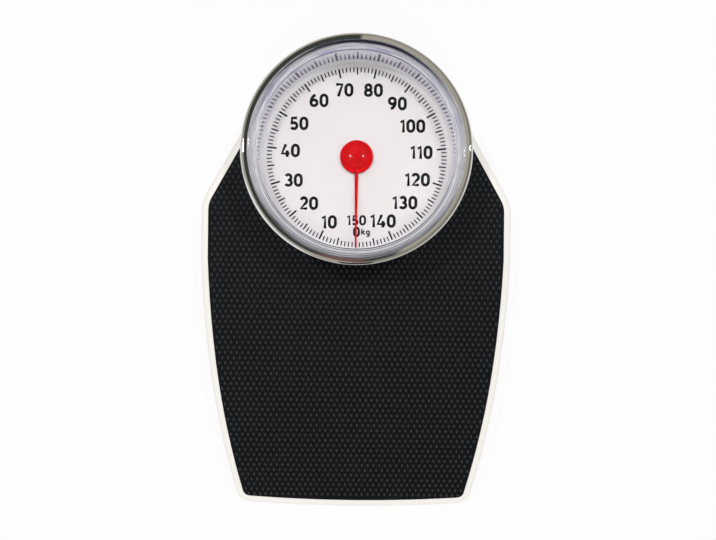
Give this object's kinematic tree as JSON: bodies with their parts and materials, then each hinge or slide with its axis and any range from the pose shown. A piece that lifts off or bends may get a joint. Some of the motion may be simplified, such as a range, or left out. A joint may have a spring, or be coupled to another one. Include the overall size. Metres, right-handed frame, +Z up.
{
  "type": "mechanical bathroom scale",
  "caption": "Mechanical bathroom scale: low rubber-matted platform on a steel base with levers, raised round dial with a red pointer, bright bezel, clear lens and zero wheel.",
  "frame": {"origin": "on the floor, under the centre of the whole scale seen from above", "axes": "+Y from the heel end to the dial, +X to the right of the person standing on it, +Z up"},
  "size_m": [0.31, 0.449, 0.0942],
  "materials": {
    "white_paint": "satin warm white enamel",
    "pan_paint": "satin white enamel",
    "black_rubber": "matte, pimpled",
    "white_plastic": "gloss",
    "white_gloss": "high gloss",
    "dial_paint": "matte white with printed ticks and numbers",
    "clear_plastic": "clear, polished",
    "bright_ring": "polished",
    "bright_band": "polished",
    "red_plastic": "gloss",
    "black_plastic": "satin",
    "brass": "machined",
    "rack_plastic": "satin acetal",
    "bright_steel": "ground",
    "spring_steel": "drawn wire",
    "zinc_steel": "zinc plated"
  },
  "bodies": {
    "base": {"base_pan": "pan_paint", "bezel_ring": "bright_ring", "crank_bracket": "zinc_steel", "crank_pin": "bright_steel", "dial_bowl": "white_plastic", "dial_neck": "white_plastic", "dial_plate": "dial_paint", "dial_surround": "white_gloss", "foot_dial_left": "black_rubber", "foot_dial_right": "black_rubber", "foot_heel_left": "black_rubber", "foot_heel_right": "black_rubber", "fulcrum_bracket_dial_left": "zinc_steel", "fulcrum_bracket_dial_right": "zinc_steel", "fulcrum_bracket_heel_left": "zinc_steel", "fulcrum_bracket_heel_right": "zinc_steel", "gear_pillars": "brass", "gear_plate_lower": "zinc_steel", "gear_plate_upper": "zinc_steel", "head_screws": "bright_steel", "lens_band": "bright_band", "lens_cover": "clear_plastic", "lens_seal": "white_gloss", "rack_guide": "rack_plastic", "return_spring": "spring_steel", "spring_bracket": "zinc_steel", "wheel_bracket": "zinc_steel"},
    "platform": {"platform_cover": "white_paint", "rubber_mat": "black_rubber", "bearing_bracket_dial_left": "zinc_steel", "bearing_bracket_dial_right": "zinc_steel", "bearing_bracket_heel_left": "zinc_steel", "bearing_bracket_heel_right": "zinc_steel"},
    "long_levers": {"link_stirrup_left": "zinc_steel", "link_stirrup_right": "zinc_steel", "long_lever_left": "zinc_steel", "long_lever_pins_left": "bright_steel", "long_lever_pins_right": "bright_steel", "long_lever_right": "zinc_steel", "nose_plate": "zinc_steel"},
    "short_lever_right": {"short_lever_right": "zinc_steel", "short_lever_pins_right": "bright_steel"},
    "short_lever_left": {"short_lever_left": "zinc_steel", "short_lever_pins_left": "bright_steel"},
    "bell_crank": {"bell_crank": "rack_plastic"},
    "rack": {"rack": "rack_plastic"},
    "pointer": {"pinion": "brass", "spindle": "bright_steel", "pointer_hub": "red_plastic", "pointer_needle": "red_plastic"},
    "zero_wheel": {"zero_wheel": "black_plastic", "zero_screw": "brass"},
    "adjust_plate": {"adjust_plate": "zinc_steel", "main_spring": "spring_steel"}
  },
  "joints": [
    {"name": "platform_travel", "type": "slide", "parent": "base", "child": "platform", "axis": [0, 0, -1], "range_m": [0, 0.0015], "stiffness_N_per_m": 981000, "springref_m": -0.00006},
    {"name": "long_lever_pivot", "type": "hinge", "parent": "base", "child": "long_levers", "pos_m": [0, -0.188, 0.022], "axis": [-1, 0, 0], "range_deg": [0, 2.39], "deforming": ["main_spring"]},
    {"name": "short_lever_right_pivot", "type": "hinge", "parent": "base", "child": "short_lever_right", "pos_m": [0.118, 0.088, 0.022], "axis": [1, 0, 0], "range_deg": [0, 2.39]},
    {"name": "short_lever_left_pivot", "type": "hinge", "parent": "base", "child": "short_lever_left", "pos_m": [-0.118, 0.088, 0.022], "axis": [1, 0, 0], "range_deg": [0, 2.39]},
    {"name": "bell_crank_pivot", "type": "hinge", "parent": "base", "child": "bell_crank", "pos_m": [0.013, 0.116, 0.02373], "axis": [1, 0, 0], "range_deg": [0, 38.57], "deforming": ["return_spring"]},
    {"name": "rack_slide", "type": "slide", "parent": "base", "child": "rack", "axis": [0, -1, 0], "range_m": [0, 0.01885]},
    {"name": "pointer_spin", "type": "hinge", "parent": "base", "child": "pointer", "pos_m": [0, 0.1224, 0.065], "axis": [0, 0, -1], "range_deg": [0, 360.01]},
    {"name": "zero_wheel_turn", "type": "hinge", "parent": "base", "child": "zero_wheel", "pos_m": [-0.031, 0.179, 0.0485], "axis": [0, 0, 1], "range_deg": [-720, 720]},
    {"name": "adjust_plate_tilt", "type": "hinge", "parent": "base", "child": "adjust_plate", "pos_m": [0, 0.1, 0.0582], "axis": [1, 0, 0], "range_deg": [-1.16, 1.16]}
  ],
  "couplings": [
    {"joint": "long_lever_pivot", "follows": "platform_travel", "rad_per_m": 27.778},
    {"joint": "short_lever_right_pivot", "follows": "platform_travel", "rad_per_m": 27.778},
    {"joint": "short_lever_left_pivot", "follows": "platform_travel", "rad_per_m": 27.778},
    {"joint": "bell_crank_pivot", "follows": "platform_travel", "rad_per_m": 448.8},
    {"joint": "rack_slide", "follows": "platform_travel", "ratio": 12.566},
    {"joint": "pointer_spin", "follows": "platform_travel", "rad_per_m": 4188.8},
    {"joint": "adjust_plate_tilt", "follows": "zero_wheel_turn", "ratio": 0.0016117}
  ]
}
